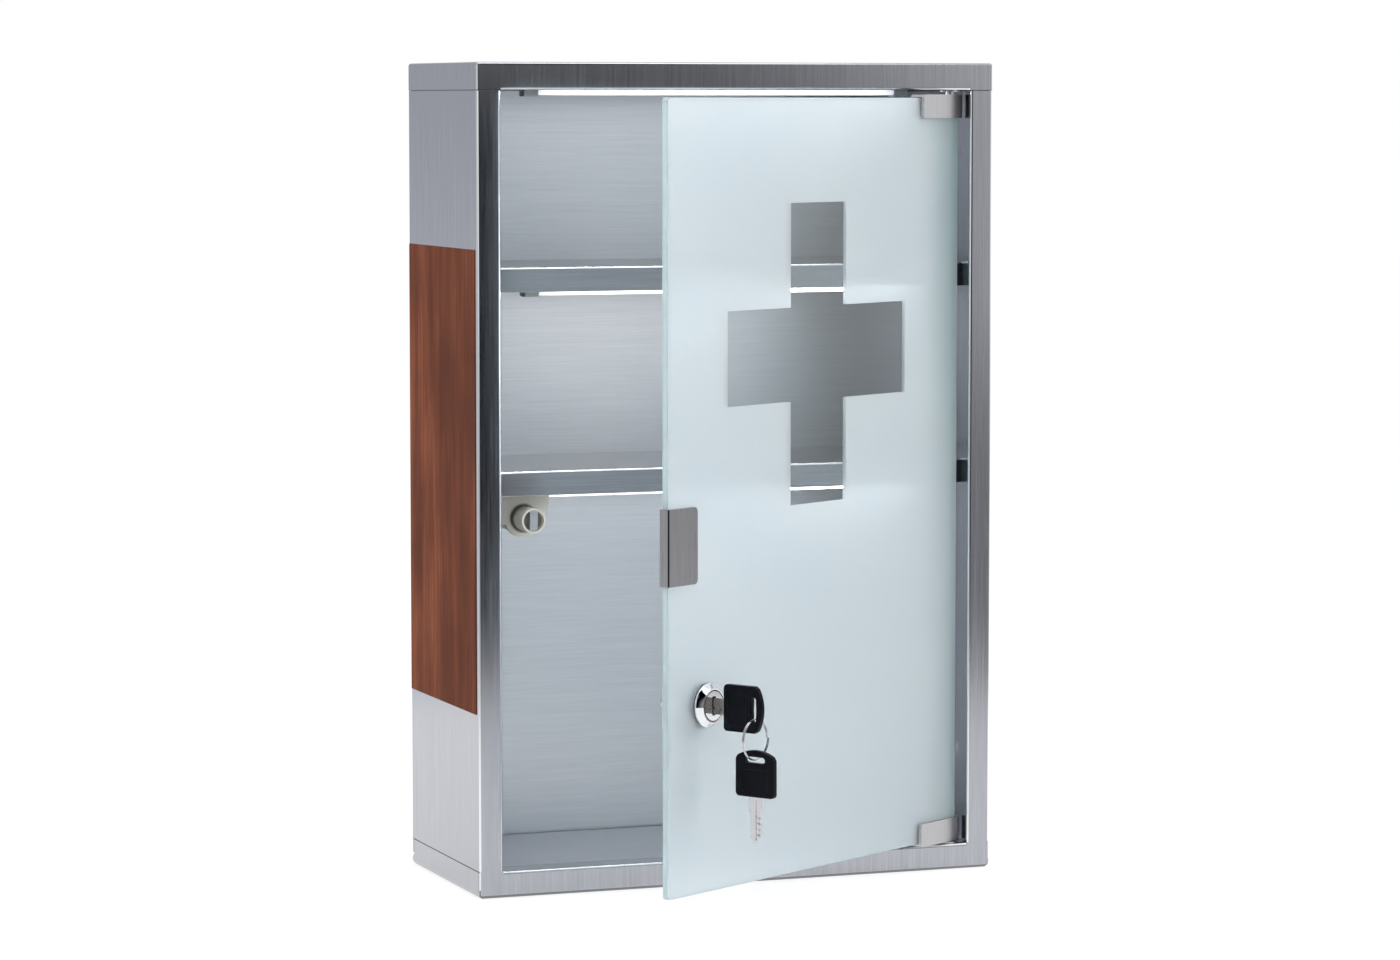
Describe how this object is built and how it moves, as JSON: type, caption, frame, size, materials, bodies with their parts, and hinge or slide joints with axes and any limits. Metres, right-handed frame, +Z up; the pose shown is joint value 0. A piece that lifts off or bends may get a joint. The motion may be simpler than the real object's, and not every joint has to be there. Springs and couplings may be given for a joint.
{
  "type": "medicine cabinet",
  "caption": "Wall medicine cabinet of brushed steel with a frosted glass door, clear cross, lit fixed shelves, push latch, cam lock with keys and wood-grain sides.",
  "frame": {"origin": "centre of the wall-screw pattern, on the rear face of the back panel", "axes": "+X to the right seen from the front, +Y towards the wall, +Z up"},
  "size_m": [0.3008, 0.2769, 0.45],
  "materials": {
    "brushed_steel": "brushed stainless sheet",
    "satin_steel": "satin stainless",
    "bright_steel": "bright zinc plate",
    "wood_grain": "reddish brown wood grain",
    "frosted_glass": "frosted glass with a clear cross",
    "cream_plastic": "moulded cream plastic",
    "magnet": "plated magnet",
    "soft_pad": "soft pad",
    "chrome": "polished chrome",
    "black_rubber": "black rubber",
    "nickel": "nickel plate",
    "aluminium": "satin aluminium extrusion",
    "grey_plastic": "grey moulded plastic",
    "light_lens": "opal white diffuser",
    "black_plastic": "black moulded plastic"
  },
  "bodies": {
    "cabinet": {"top_cap": "brushed_steel", "bottom_cap": "brushed_steel", "floor_panel": "brushed_steel", "left_side_panel": "brushed_steel", "right_side_panel": "brushed_steel", "back_panel": "brushed_steel", "left_wood_panel": "wood_grain", "right_wood_panel": "wood_grain", "upper_shelf": "brushed_steel", "lower_shelf": "brushed_steel", "upper_bush": "bright_steel", "lower_bush": "bright_steel", "latch_housing": "cream_plastic", "latch_screws": "bright_steel", "latch_spring": "bright_steel", "top_light_channel": "aluminium", "top_light_lens": "light_lens", "top_light_caps": "grey_plastic", "upper_light_channel": "aluminium", "upper_light_lens": "light_lens", "upper_light_caps": "grey_plastic", "lower_light_channel": "aluminium", "lower_light_lens": "light_lens", "lower_light_caps": "grey_plastic"},
    "door": {"door_glass": "frosted_glass", "upper_hinge_clip": "satin_steel", "lower_hinge_clip": "satin_steel", "upper_clip_pads": "soft_pad", "lower_clip_pads": "soft_pad", "clip_screws": "bright_steel", "upper_pivot_pin": "bright_steel", "lower_pivot_pin": "bright_steel", "push_plate": "satin_steel", "push_plate_tape": "soft_pad", "lock_body": "chrome", "lock_gasket": "black_rubber", "lock_washer": "black_rubber", "lock_nut": "bright_steel"},
    "lock_core": {"lock_plug": "chrome", "lock_cam": "bright_steel", "cam_screw": "bright_steel"},
    "key_one": {"key_one_blade": "nickel", "key_one_head": "black_plastic"},
    "ring": {"key_ring": "nickel"},
    "key_two": {"key_two_blade": "nickel", "key_two_head": "black_plastic"},
    "plunger": {"latch_plunger": "cream_plastic", "latch_magnet": "magnet"}
  },
  "joints": [
    {"name": "door_hinge", "type": "hinge", "parent": "cabinet", "child": "door", "pos_m": [0.127, -0.1172, 0], "axis": [0, 0, 1], "range_deg": [-32, 78]},
    {"name": "lock_turn", "type": "hinge", "parent": "door", "child": "lock_core", "pos_m": [-0.06296, -0.2359, -0.109], "axis": [-0.5299, 0.848, 0], "range_deg": [0, 90]},
    {"name": "key_withdraw", "type": "slide", "parent": "lock_core", "child": "key_one", "axis": [0.5299, -0.848, 0], "range_m": [0, 0.02]},
    {"name": "ring_swing", "type": "hinge", "parent": "key_one", "child": "ring", "pos_m": [-0.04526, -0.26423, -0.1139], "axis": [-0.848, -0.5299, 0], "range_deg": [-10, 40]},
    {"name": "key_two_swing", "type": "hinge", "parent": "ring", "child": "key_two", "pos_m": [-0.04488, -0.26484, -0.1349], "axis": [-0.848, -0.5299, 0], "range_deg": [-10, 40]},
    {"name": "latch_push", "type": "slide", "parent": "cabinet", "child": "plunger", "axis": [0, 1, 0], "range_m": [0, 0.004], "stiffness_N_per_m": 500, "springref_m": -0.003, "deforming": ["latch_spring"]}
  ]
}
